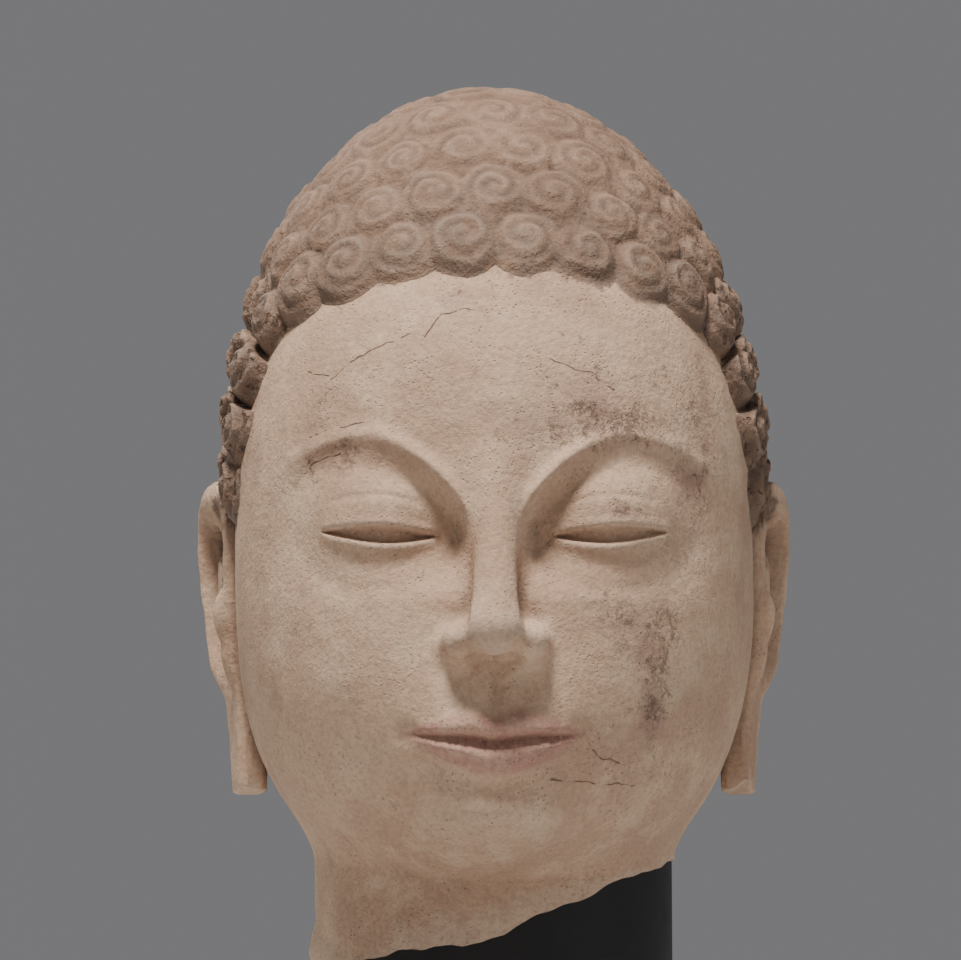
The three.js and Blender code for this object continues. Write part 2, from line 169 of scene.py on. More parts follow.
def lid_lines(ax):
    along = np.clip((ax - 0.265) / 0.56, 0.0, 1.0)
    arc = np.sin(np.pi * along)
    droop = 1.63 + 0.035 * along
    return droop + 0.018 * arc, droop - 0.055 * arc, (ax - 0.265) / 0.56


def brows_and_lids(ax, z):
    brow = brow_line(ax)
    upper, lower, along = lid_lines(ax)
    arc = np.sin(np.pi * np.clip(along, 0.0, 1.0))
    span = fade(-0.03, 0.05, along) * fade(1.04, 0.95, along)
    hollow = fade(0.02, -0.16, z - brow) * fade(1.3, 1.66, z) * fade(0.08, 0.2, ax) * fade(1.2, 0.5, ax)
    slit = fade(0.006, -0.01, z - upper) * fade(-0.006, 0.01, z - lower) * span
    return (
        0.05 * mound(ax, z, 0.66, 1.08, 0.6, 0.66, 1.8)
        - 0.15 * hollow * (0.5 + 0.5 * bell(ax - 0.28, 0.26))
        + 0.02 * bell(z - brow - 0.015, 0.045) * fade(0.1, 0.2, ax) * fade(1.2, 0.8, ax)
        + 0.165 * mound(ax, z, 0.545, 1.735, 0.45, 0.38, 1.7)
        + 0.012 * bell(z - upper - 0.024, 0.024) * span
        + 0.011 * bell(z - lower + 0.024, 0.022) * span
        - 0.012 * bell(z - lower + 0.095, 0.05) * fade(0.0, 0.35, along) * fade(1.1, 0.7, along)
        - 0.007 * bell(z - upper - 0.125 - 0.03 * arc, 0.014) * fade(0.02, 0.25, along) * fade(1.05, 0.8, along)
        - 0.042 * slit
        - 0.012 * bell(ax - 0.262, 0.022) * bell(z - 1.612, 0.03)
    )


def lip_lines(ax):
    out = ax / 0.4
    m = np.minimum(out, 1.0)
    line = 0.66 + 0.04 * m**2 - 0.012 * bell(ax, 0.08)
    top = line + 0.135 * (1.0 - m**1.7) ** 0.8 + 0.012 * bell(ax - 0.1, 0.05) - 0.022 * bell(ax, 0.05)
    low = line - 0.16 * (1.0 - m**2.0) ** 0.8
    return out, line, top, low


def lips_and_chin(ax, z):
    out, line, top, low = lip_lines(ax)
    s_up = np.clip((z - line) / np.maximum(top - line, 0.01), 0.0, 3.0)
    s_low = np.clip((line - z) / np.maximum(line - low, 0.01), 0.0, 3.0)
    full = fade(1.03, 0.45, out)
    swell_up = np.maximum(1 - (1 - s_up / 0.4) ** 2, 0) ** 0.8
    plump_up = np.where(s_up < 0.4, swell_up, 1 - 0.5 * (np.maximum(s_up - 0.4, 0) / 0.6) ** 1.6)
    plump_up = np.where(s_up > 1, 0.5 * np.exp(-np.maximum(z - top, 0) / 0.05), plump_up)
    swell_low = np.maximum(1 - (1 - s_low / 0.42) ** 2, 0) ** 0.9
    past_swell = np.maximum(np.minimum(s_low, 1) - 0.42, 0) / 0.58
    plump_low = np.where(s_low < 0.42, swell_low, 1 - 0.62 * past_swell**1.7)
    plump_low = np.where(s_low > 1, 0.38 * np.exp(-np.maximum(low - z, 0) / 0.05), plump_low)
    return (
        0.075 * mound(ax, z, 0.0, 0.72, 0.62, 0.5, 1.8)
        + 0.225 * mound(ax, z, 0.0, 0.26, 0.5, 0.36, 1.8)
        - 0.04 * bell(ax, 0.26) * bell(z - 0.43, 0.085)
        + full * np.where(z > line, 0.078 * plump_up, 0.09 * plump_low)
        - 0.022 * bell(z - line, 0.022) * fade(1.06, 0.85, out)
        - 0.02 * bell(ax - 0.425, 0.045) * bell(z - 0.7, 0.055)
        + 0.01 * (bell(ax - 0.075, 0.035) - 1.5 * bell(ax, 0.035)) * fade(0.8, 0.88, z) * fade(1.02, 0.95, z)
    )


def face_field(x, y, z):
    ax = np.abs(x)
    carved = (brows_and_lids(ax, z) + lips_and_chin(ax, z)) * fade(-0.25, -0.7, y)
    skull = ovoid(x, y + carved, z, 1.75, 1.8, 1.8, 1.285, 1.37, 1.3, (2.35, 2.1), (2.3, 3.1, 2.9, 5.5, 2.4, 2.4))
    bridge = rod(ax, y, z, (0, -1.31, 1.95), (0, -1.535, 1.2), 0.078, 0.115)
    tip = egg(ax, y, z, (0, -1.552, 1.16), (0.138, 0.135, 0.112))
    wing = egg(ax, y, z, (0.15, -1.44, 1.112), (0.1, 0.14, 0.09))
    nostril = egg(ax, y, z, (0.085, -1.49, 1.02), (0.048, 0.078, 0.045))
    nose = join(join(bridge, tip, 0.07), wing, 0.05)
    return cut(join(skull, nose, 0.1), nostril, 0.03)


def neck_field(x, y, z):
    front = fade(0.2, -0.75, y)
    crease = -0.1 - 0.24 * front
    down = z - crease
    fold = 0.045 * fade(0.01, -0.1, down) * fade(-0.4, -0.16, down) - 0.012 * bell(down, 0.03)
    swell = 0.005 * bell(z + 0.34, 0.16) + fold * (0.35 + 0.65 * fade(0.0, 0.6, front))
    depth = np.where(y < 0, NECK_FRONT, NECK_BACK) + swell
    side = NECK_SIDE + swell
    rho = np.hypot(x / side, y / depth)
    radius = np.hypot(x, y) / np.maximum(rho, 1e-6)
    return np.maximum(np.maximum((rho - 1.0) * radius, z - 1.2), -0.9 - z)


# ---- the hair --------------------------------------------------------------------------------


def hair_field(x, y, z):
    leant = x + LEAN * np.maximum(z - 2.2, 0)
    outer = ovoid(leant, y, z, 2.2, 1.87, 1.75, 1.4, 1.4, 1.46, (2.0, 2.0), (1.92, 2.2, 1.6, 2.2, 2.3, 2.6))
    return outer + 0.004


def push_out(directions, field, near=0.2, far=4.0, steps=24):
    """Where rays from the middle of the head leave a body, by halving the span again and again."""
    near = np.full(len(directions), near)
    far = np.full(len(directions), far)
    for _ in range(steps):
        mid = (near + far) * 0.5
        p = MIDDLE + directions * mid[:, None]
        inside = field(p[:, 0], p[:, 1], p[:, 2]) < 0
        near = np.where(inside, mid, near)
        far = np.where(inside, far, mid)
    return MIDDLE + directions * ((near + far) * 0.5)[:, None]


def cap_directions(from_crown, turn):
    """Directions at an angle from the crown, turned round it from the front."""
    crown = np.array([0.0, math.sin(CROWN_TILT), math.cos(CROWN_TILT)])
    forward = np.array([0.0, -math.cos(CROWN_TILT), math.sin(CROWN_TILT)])
    right = np.array([1.0, 0.0, 0.0])
    s = np.sin(from_crown)[:, None]
    return (
        crown * np.cos(from_crown)[:, None]
        + forward * (np.cos(turn)[:, None] * s)
        + right * (np.sin(turn)[:, None] * s)
    )


def hairline(turn):
    """The hair's edge, as an angle from the crown."""
    t = np.degrees(np.abs(np.arctan2(np.sin(turn), np.cos(turn))))
    return np.radians(
        89 - 8 * bell(t - 46, 17) + 6 * bell(t - 75, 12) - 5 * bell(t - 98, 14) + 2 * bell(t - 130, 20)
    )


def curl_places():
    """Where the curls sit, row by row from the hairline up to the crown."""
    places, rows = [], []
    turn = np.linspace(0, 2 * np.pi, 361)
    # towards the nape the rows spread out, where the skull's curve would crowd them
    spread = 1 + 0.35 * fade(1.4, 2.4, np.pi - np.abs(turn - np.pi))
    for row in range(CURL_ROWS):
        share = 1 - (row + 0.5) / CURL_ROWS
        ring = push_out(cap_directions(hairline(turn) * share**spread, turn), hair_field)
        length = np.concatenate([[0], np.cumsum(np.linalg.norm(np.diff(ring, axis=0), axis=1))])
        count = max(round(length[-1] / CURL_PITCH), 4)
        wanted = (np.arange(count) + ((row + 1) % 2) / 2) / count * length[-1]
        places.append(np.stack([np.interp(wanted, length, ring[:, k]) for k in range(3)], axis=1))
        rows.append(np.full(count, row))
    places.append(push_out(cap_directions(np.array([0.0]), np.array([0.0])), hair_field))
    rows.append([CURL_ROWS])
    direction = np.concatenate(places) - MIDDLE
    direction /= np.linalg.norm(direction, axis=1)[:, None]
    at = push_out(direction, hair_field)
    slopes = []
    for k in range(3):
        step = np.zeros(3)
        step[k] = 0.01
        slopes.append(hair_field(*(at + step).T) - hair_field(*(at - step).T))
    normal = np.stack(slopes, axis=1)
    normal /= np.linalg.norm(normal, axis=1)[:, None]
    return at, direction, normal, np.concatenate(rows)


CURL_AT, CURL_DIR, CURL_UP, CURL_ROW = curl_places()
CURL_SIDE = np.cross([0.0, 0.02, 1.0], CURL_UP)
CURL_SIDE /= np.linalg.norm(CURL_SIDE, axis=1)[:, None]
CURL_RISE = np.cross(CURL_UP, CURL_SIDE)
COUNT = len(CURL_AT)
# worn low over the forehead and crown, deeper and rougher at the sides and back
CURL_WORN = 1 - fade(0.4, 0.8, np.hypot(CURL_DIR[:, 0], np.maximum(CURL_DIR[:, 1], 0)))
CURL_WORN = np.clip(CURL_WORN + rng.normal(0, 0.08, COUNT), 0.0, 1.0)
CURL_GAPS = np.sort(np.linalg.norm(CURL_AT[:, None] - CURL_AT[None], axis=2), axis=1)[:, 1:6].mean(1)
CURL_SIZE = np.clip(0.58 * CURL_GAPS, 0.135, 0.195) * rng.normal(1.0, 0.03, COUNT)
CURL_DEEP = (0.062 - 0.026 * CURL_WORN + 0.02 * (CURL_ROW == 0)) * rng.normal(1.0, 0.08, COUNT)
CURL_PHASE = rng.uniform(0, 1, COUNT)
CURL_TURNS = rng.normal(2.5, 0.25, COUNT)
CURL_HAND = np.where(CURL_AT[:, 0] > 0, 1.0, -1.0)
CURL_DARK = rng.uniform(0, 1, COUNT)
CURL_SINK = np.abs(rng.normal(0, 0.009, COUNT))


def on_curl(x, y, z, which):
    """Place on a curl: how far across and up it, and how far from its middle, 1 at its edge."""
    rel = np.stack([x, y, z], axis=1) - CURL_AT[which]
    u = (rel * CURL_SIDE[which]).sum(1)
    v = (rel * CURL_RISE[which]).sum(1)
    angle = np.arctan2(v, u)
    wobble = 1 + 0.035 * np.sin(3 * angle + 6.3 * CURL_PHASE[which])
    wobble = wobble + 0.02 * np.sin(5 * angle + 9 * CURL_DARK[which])
    return angle, np.hypot(u, v) / (CURL_SIZE[which] * wobble)


def nearest_curls(directions):
    """The curl that each direction meets. Lower rows overlap the rows above them."""
    found = np.empty(len(directions), dtype=np.int64)
    for start in range(0, len(directions), 20000):
        part = directions[start : start + 20000]
        close = part @ CURL_DIR.T
        best = np.argpartition(-close, 4, axis=1)[:, :4]
        base = push_out(part, hair_field, 0.8, 2.6, 12)
        rank = np.empty(best.shape)
        for k in range(4):
            _, r = on_curl(*base.T, best[:, k])
            rank[:, k] = np.where(r < 1.0, CURL_ROW[best[:, k]] * 10 + r, 1000 + r)
        found[start : start + 20000] = best[np.arange(len(part)), np.argmin(rank, axis=1)]
    return found


def stray(directions):
    """How far a hand-cut spiral strays from a true one, in turns."""
    return 0.11 * uneven(*(directions.T * 1.9), 0.12)


def curl_shape(x, y, z, which, strayed):
    """How far the surface lies under the hair's outer form, in thirds, and the spiral's crest."""
    angle, r = on_curl(x, y, z, which)
    worn = CURL_WORN[which]
    wind = angle / (2 * np.pi) * CURL_HAND[which] + CURL_TURNS[which] * np.minimum(r, 1.05) ** 0.9
    wind = wind + CURL_PHASE[which] + strayed
    crest = np.clip(0.5 + 0.5 * np.cos(2 * np.pi * wind), 0.0, 1.0)
    groove = (0.027 - 0.009 * worn) * fade(0.03, 0.2, r) * fade(1.1, 0.85, r)
    under = CURL_DEEP[which] * r**2.6 + CURL_SINK[which] + 0.016 * bell(r - 1.0, 0.07)
    # below the first row the hair falls away, elsewhere a gap between curls is only a small hole
    last = fade(0.3, -0.2, np.sin(angle)) * (CURL_ROW[which] == 0)
    drop = (0.17 - 0.07 * worn) * (1 - last) + 0.9 * last
    return under + groove * (1 - crest**0.8) + drop * np.clip(r - 1.02, 0, 0.4), crest, r


# ---- the stone head --------------------------------------------------------------------------


def weathered(x, y, z):
    """Slow unevenness of hand carving, in thirds."""
    return (
        0.0035 * np.sin(4.1 * x + 2.0 * z) * np.sin(3.3 * z - 1.2 * y + 0.7)
        + 0.002 * np.sin(9.7 * x - 5.0 * y) * np.sin(8.3 * z + 3.0 * x + 1.9)
        + 0.001 * np.sin(23.0 * x + 11.0 * z) * np.sin(19.0 * z - 13.0 * y)
    )


def hair_outside(x, y, z, face):
    """The hair's outer form, which stands a little over the skull at the nape too."""
    return join(hair_field(x, y, z), face - 0.05, 0.08)


def head_points(directions):
    which = nearest_curls(directions)
    # beyond the last row nothing is hair
    away = np.arccos(np.clip((directions * CURL_DIR[which]).sum(1), -1, 1))
    maybe_hair = away < 0.3
    strayed = stray(directions)

    def field(x, y, z):
        face = face_field(x, y, z)
        body = join(face, neck_field(x, y, z), 0.14) + weathered(x, y, z)
        under, _, _ = curl_shape(x, y, z, which, strayed)
        curls = hair_outside(x, y, z, face) + under
        return np.where(maybe_hair, join(body, curls, 0.014), body)

    points = push_out(directions, field, 0.6, 3.2, 19)
    x, y, z = points.T
    _, r = on_curl(x, y, z, which)
    hair = fade(1.3, 1.0, r) * maybe_hair
    rough = 1 - CURL_WORN[which]
    dents = (0.006 + 0.006 * rough) * np.minimum(uneven(x, y, z, 0.07) + 0.2, 0)
    dents = dents - (0.005 + 0.014 * rough) * fade(0.4, 0.8, uneven(x, y, z, 0.04))
    # scars on the smooth skin are few and shallow
    scars = -0.0035 * fade(0.5, 0.9, uneven(x, y, z, 0.05)) * fade(0.0, 0.6, uneven(x, y, z, 0.5))
    return points + directions * (dents * hair + scars * (1 - hair))[:, None], hair


def mesh_array(mesh):
    flat = np.empty(len(mesh.vertices) * 3, dtype=np.float32)
    mesh.vertices.foreach_get("co", flat)
    return flat.reshape(-1, 3).astype(np.float64)


def set_mesh_array(mesh, points):
    mesh.vertices.foreach_set("co", np.asarray(points, dtype=np.float32).ravel())
    mesh.update()


def to_metres(p):
    return p * THIRD + np.array([0.0, 0.0, CHIN_LEVEL])


def to_thirds(p):
    return (p - np.array([0.0, 0.0, CHIN_LEVEL])) / THIRD


def new_piece(name, bm):
    mesh = bpy.data.meshes.new(name)
    bm.to_mesh(mesh)
    bm.free()
    piece = bpy.data.objects.new(name, mesh)
    bpy.context.scene.collection.objects.link(piece)
    return piece


def settle(piece):
    """Turns a piece's modifiers into its mesh."""
    depsgraph = bpy.context.evaluated_depsgraph_get()
    done = bpy.data.meshes.new_from_object(piece.evaluated_get(depsgraph))
    old = piece.data
    piece.modifiers.clear()
    piece.data = done
    bpy.data.meshes.remove(old)


def neighbours(mesh):
    """A function that averages values over each point's neighbours along the edges."""
    edges = np.empty(len(mesh.edges) * 2, dtype=np.int32)
    mesh.edges.foreach_get("vertices", edges)
    a, b = edges.reshape(-1, 2).T
    total = len(mesh.vertices)
    count = np.maximum(np.bincount(a, minlength=total) + np.bincount(b, minlength=total), 1)
    return lambda values: (np.bincount(a, values[b], total) + np.bincount(b, values[a], total)) / count


def carve_head():
    """Face, neck and hair as one ball pushed out to the carving, without ears or break."""
    bm = bmesh.new()
    bmesh.ops.create_icosphere(bm, subdivisions=9, radius=1.0)
    head = new_piece("carved_head", bm)
    directions = mesh_array(head.data)
    directions /= np.linalg.norm(directions, axis=1)[:, None]
    points, hair = head_points(directions)
    # wear rounds every edge, most of all on the hair
    around = neighbours(head.data)
    radius = ((points - MIDDLE) * directions).sum(1)
    for turn in range(4):
        share = 0.3 + 0.5 * hair if turn == 0 else 0.8 * hair
        radius = radius + share * (around(radius) - radius)
    set_mesh_array(head.data, to_metres(MIDDLE + directions * radius[:, None]))
    return head


# ---- the ears --------------------------------------------------------------------------------


def ear_reach(share):
    round_top = 0.29 * np.sqrt(np.maximum(1 - ((0.27 - share) / 0.27) ** 2, 0.03))
    long_part = 0.165 + 0.125 * fade(0.8, 0.27, share)
    return np.where(share < 0.27, round_top, long_part)


def ear_relief(across, share):
    """Height of the carved ear over its slab, in thirds: rim, inner ridge, shell and lobe."""
    wide = ear_reach(share)
    from_edge = np.minimum((1 - np.abs(across)) * wide, share * 0.9)
    upper = fade(0.72, 0.56, share)
    rim = 0.075 * np.sqrt(np.maximum(1 - ((from_edge - 0.055) / 0.062) ** 2, 0.0)) * upper
    shell = 0.25 * mound(across, share, -0.22, 0.42, 0.43, 0.19, 0.55)
    groove = 0.1 * bell(across - 0.56, 0.12) * fade(0.08, 0.2, share) * fade(0.66, 0.5, share)
    ridge = 0.02 * bell(across - 0.3, 0.13) * fade(0.2, 0.32, share) * fade(0.62, 0.5, share)
    dip = 0.07 * mound(across, share, 0.05, 0.18, 0.4, 0.1, 0.7)
    slot = 0.1 * bell(across + 0.12, 0.17) * fade(0.5, 0.6, share) * fade(0.71, 0.62, share)
    flap = 0.05 * mound(across, share, -0.75, 0.44, 0.22, 0.09, 1.0)
    return 0.075 + rim - shell - groove + ridge - dip - slot + flap


def carve_ear(side):
    bm = bmesh.new()
    bmesh.ops.create_cube(bm, size=2.0)
    long_edges = [e for e in bm.edges if abs(e.verts[0].co.z - e.verts[1].co.z) > 1]
    bmesh.ops.subdivide_edges(bm, edges=long_edges, cuts=170, use_grid_fill=True)
    wide_edges = [e for e in bm.edges if abs(e.verts[0].co.y - e.verts[1].co.y) > 1]
    bmesh.ops.subdivide_edges(bm, edges=wide_edges, cuts=60, use_grid_fill=True)
    deep_edges = [e for e in bm.edges if abs(e.verts[0].co.x - e.verts[1].co.x) > 1]
    bmesh.ops.subdivide_edges(bm, edges=deep_edges, cuts=14, use_grid_fill=True)
    piece = new_piece("carved_ear", bm)
    through, wide, tall = mesh_array(piece.data).T
    across = np.sin(wide * np.pi / 2)
    share = 0.5 - tall / 2
    flare = EAR_TOP_FLARE + (EAR_END_FLARE - EAR_TOP_FLARE) * share
    root = EAR_TOP_ROOT + (EAR_END_ROOT - EAR_TOP_ROOT) * share
    soften = np.sqrt(np.maximum(1 - 0.6 * np.abs(across) ** 10, 0.1))
    outer = ear_relief(across, share) * soften
    outer = outer + 0.004 * np.sin(31 * share + 5 * across) * np.sin(9 * across + 17 * share)
    inner = -root * np.sqrt(np.maximum(1 - 0.5 * np.abs(across) ** 8, 0.1))
    lift = inner + (outer - inner) * (through + 1) / 2
    half = ear_reach(share) * np.sqrt(np.maximum(1 - 0.09 * through ** 6, 0))
    seat = EAR_TOP_OUT + (EAR_END_OUT - EAR_TOP_OUT) * share
    x = seat + np.sin(flare) * across * half + np.cos(flare) * lift
    y = EAR_BACK + np.cos(flare) * across * half - np.sin(flare) * lift
    z = EAR_TOP + (EAR_END - EAR_TOP) * share
    # the lobe's end is cut flat, with its arrises knocked off
    end = fade(0.985, 1.0, share)
    z = z + 0.012 * end * (np.abs(across) ** 6 + np.abs(through) ** 6)
    chip = bell(across + 0.8, 0.5) * bell(through - 1.0, 0.8) * fade(0.95, 1.0, share)
    z = z + (0.05 if side > 0 else 0.02) * chip
    points = np.stack([x * side, y, z], axis=1)
    set_mesh_array(piece.data, to_metres(points))
    if side < 0:
        piece.data.flip_normals()
    return piece


# ---- the broken neck ---------------------------------------------------------------------------


def break_height(x, y):
    wave = np.sin(5.1 * x + 1.3 * y) + np.sin(7.3 * y - 2.2 * x) + 0.6 * np.sin(11 * x + 9 * y)
    fine = 0.35 * np.sin(23 * x - 17 * y) * np.sin(19 * y + 9 * x)
    fine = fine + 0.2 * np.sin(41 * x + 13 * y) * np.sin(37 * y - 21 * x)
    return BREAK_HEIGHT + BREAK_RIGHT * x + BREAK_BACK * y + BREAK_ROUGH * (wave + fine)


def below_break(name, drop):
    """A block that fills all below the broken neck, lowered by this many metres."""
    bm = bmesh.new()
    bmesh.ops.create_grid(bm, x_segments=110, y_segments=110, size=1.2)
    top = list(bm.faces)
    for v in bm.verts:
        v.co.z = break_height(v.co.x, v.co.y)
    skirt = bmesh.ops.extrude_face_region(bm, geom=top)
    for v in skirt["geom"]:
        if isinstance(v, bmesh.types.BMVert):
            v.co.z = -1.6
    bmesh.ops.recalc_face_normals(bm, faces=bm.faces)
    piece = new_piece(name, bm)
    set_mesh_array(piece.data, to_metres(mesh_array(piece.data)) - np.array([0.0, 0.0, drop]))
    return piece


def combine(piece, tool, how):
    step = piece.modifiers.new("combine", "BOOLEAN")
    step.operation = how
    step.solver = "MANIFOLD"
    step.object = tool
    settle(piece)
    mesh = tool.data
    bpy.data.objects.remove(tool)
    bpy.data.meshes.remove(mesh)


def thin_out(piece, wanted):
    triangles = sum(len(p.vertices) - 2 for p in piece.data.polygons)
    if triangles > wanted:
        step = piece.modifiers.new("thin", "DECIMATE")
        step.ratio = wanted / triangles
        step.use_collapse_triangulate = True
        settle(piece)


def smooth_look(piece, angle):
    piece.data.polygons.foreach_set("use_smooth", [True] * len(piece.data.polygons))
    piece.data.set_sharp_from_angle(angle=math.radians(angle))


def point_values(piece, name, values):
    layer = piece.data.attributes.new(name, "FLOAT", "POINT")
    layer.data.foreach_set("value", np.asarray(values, dtype=np.float32))


def hollows(piece):
    """How far each point lies in a hollow, from its neighbours, spread a little."""
    mesh = piece.data
    p = mesh_array(mesh)
    around = neighbours(mesh)
    normal = np.empty(len(p) * 3, dtype=np.float32)
    mesh.vertices.foreach_get("normal", normal)
    normal = normal.reshape(-1, 3)
    broad = p.copy()
    for _ in range(6):
        broad = np.stack([around(broad[:, k]) for k in range(3)], axis=1)
    deep = ((broad - p) * normal).sum(1)
    return 0.5 * deep + 0.5 * around(deep)


def blob(x, z, at_x, at_z, across, high):
    return np.exp(-(((x - at_x) / across) ** 2) - ((z - at_z) / high) ** 2)


# where the patina lies: (x, z) in thirds, how far across and up it reaches, and how thick it is
PATINA = (
    (0.5, 2.17, 0.36, 0.13, 0.95), (0.5, 2.42, 0.38, 0.18, 0.4), (0.93, 1.88, 0.12, 0.2, 0.7),
    (0.96, 2.35, 0.14, 0.3, 0.5), (0.6, 1.74, 0.11, 0.05, 0.8), (0.92, 1.52, 0.08, 0.14, 0.5),
    (0.66, 1.19, 0.24, 0.17, 0.8), (0.74, 0.82, 0.08, 0.22, 1.0), (-0.75, 2.02, 0.26, 0.12, 0.5),
    (-0.82, 2.3, 0.16, 0.25, 0.3), (0.05, 2.05, 0.2, 0.14, 0.4), (-0.1, 2.78, 0.3, 0.1, 0.45),
    (-0.55, 0.72, 0.1, 0.1, 0.3), (0.4, 0.6, 0.35, 0.12, 0.3), (-0.95, 1.2, 0.12, 0.5, 0.25),
)


def stone_head():
    head = carve_head()
    for side in (1, -1):
        combine(head, carve_ear(side), "UNION")
    combine(head, below_break("under_break", 0.0), "DIFFERENCE")
    thin_out(head, HEAD_TRIANGLES)
    smooth_look(head, 62)
    q = to_thirds(mesh_array(head.data))
    x, y, z = q.T
    front = fade(-0.2, -0.7, y)
    direction = q - MIDDLE
    direction /= np.linalg.norm(direction, axis=1)[:, None]
    which = nearest_curls(direction)
    angle, _ = on_curl(x, y, z, which)
    under, crest, r = curl_shape(x, y, z, which, stray(direction))
    in_hair = fade(1.3, 1.08, r) * fade(0.07, 0.045, np.abs(hair_outside(x, y, z, face_field(x, y, z)) + under))
    # painted shade along each curl's edge, heaviest on its upper arc under the curl above
    rim = bell(r - 0.97, 0.06) * (0.6 + 0.4 * np.sin(angle)) * in_hair
    ax = np.abs(x)
    out, _, top, low = lip_lines(ax)
    lips = fade(-0.012, 0.012, np.minimum(top - z, z - low)) * fade(1.04, 0.94, out) * front
    patina = np.zeros(len(q))
    for at_x, at_z, across, high, thick in PATINA:
        patina += thick * blob(x, z, at_x, at_z, across, high) * front
    # how hollow each point is; the finish paints shade and dirt into the hollows, and wear with a painted highlight
    # on what stands out
    point_values(head, "hollow", np.clip(hollows(head) / 0.0011, -1.5, 2.5))
    point_values(head, "hair", np.clip(in_hair, 0, 1))
    point_values(head, "rough", np.clip(in_hair * (1 - CURL_WORN[which]), 0, 1))
    point_values(head, "curl_tone", CURL_DARK[which])
    point_values(head, "curl_rim_shade", rim)
    # the spiral grooves' depth, darkened in the finish with dirt and painted shade
    point_values(head, "groove", (1 - crest) ** 1.5 * fade(0.05, 0.2, r) * fade(1.05, 0.85, r) * in_hair)
    point_values(head, "curl_row", fade(2.5, 0.0, CURL_ROW[which]) * in_hair * fade(0.2, -0.4, y))
    point_values(head, "lips", lips)
    point_values(head, "patina", np.clip(patina, 0, 1))
    return head


# ---- the post and its foot ---------------------------------------------------------------------


def support_post():
    bm = bmesh.new()
    bmesh.ops.create_cone(bm, cap_ends=True, segments=192, radius1=1.0, radius2=1.0, depth=POST_LENGTH)
    bmesh.ops.scale(bm, vec=(POST_SIDE, POST_DEPTH, 1.0), verts=bm.verts)
    middle = FOOT_TOP + FOOT_GAP + POST_LENGTH / 2
    bmesh.ops.translate(bm, vec=(0.0, POST_BACK, middle), verts=bm.verts)
    walls = [e for e in bm.edges if abs(e.verts[0].co.z - e.verts[1].co.z) > 0.1]
    bmesh.ops.subdivide_edges(bm, edges=walls, cuts=24, use_grid_fill=True)
    post = new_piece("post", bm)
    combine(post, below_break("seat", BREAK_GAP), "INTERSECT")
    smooth_look(post, 40)
    return post


def support_foot():
    low, high = [Vector(c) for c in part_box("support_foot")]
    bm = bmesh.new()
    bmesh.ops.create_cube(bm, size=1.0)
    size = high - low
    bmesh.ops.scale(bm, vec=size, verts=bm.verts)
    bmesh.ops.translate(bm, vec=(low + high) / 2, verts=bm.verts)
    upright = [e for e in bm.edges if abs(e.verts[0].co.z - e.verts[1].co.z) > 0.01]
    how = {"affect": "EDGES", "profile": 0.5, "material": -1}
    bmesh.ops.bevel(bm, geom=upright, offset=FOOT_CORNER, segments=1, **how)
    rims = [e for e in bm.edges if abs(e.verts[0].co.z - e.verts[1].co.z) < 0.001]
    bmesh.ops.bevel(bm, geom=rims, offset=FOOT_EDGE, segments=4, **how)
    foot = new_piece("foot", bm)
    smooth_look(foot, 40)
    return foot


# ---- finishes ----------------------------------------------------------------------------------


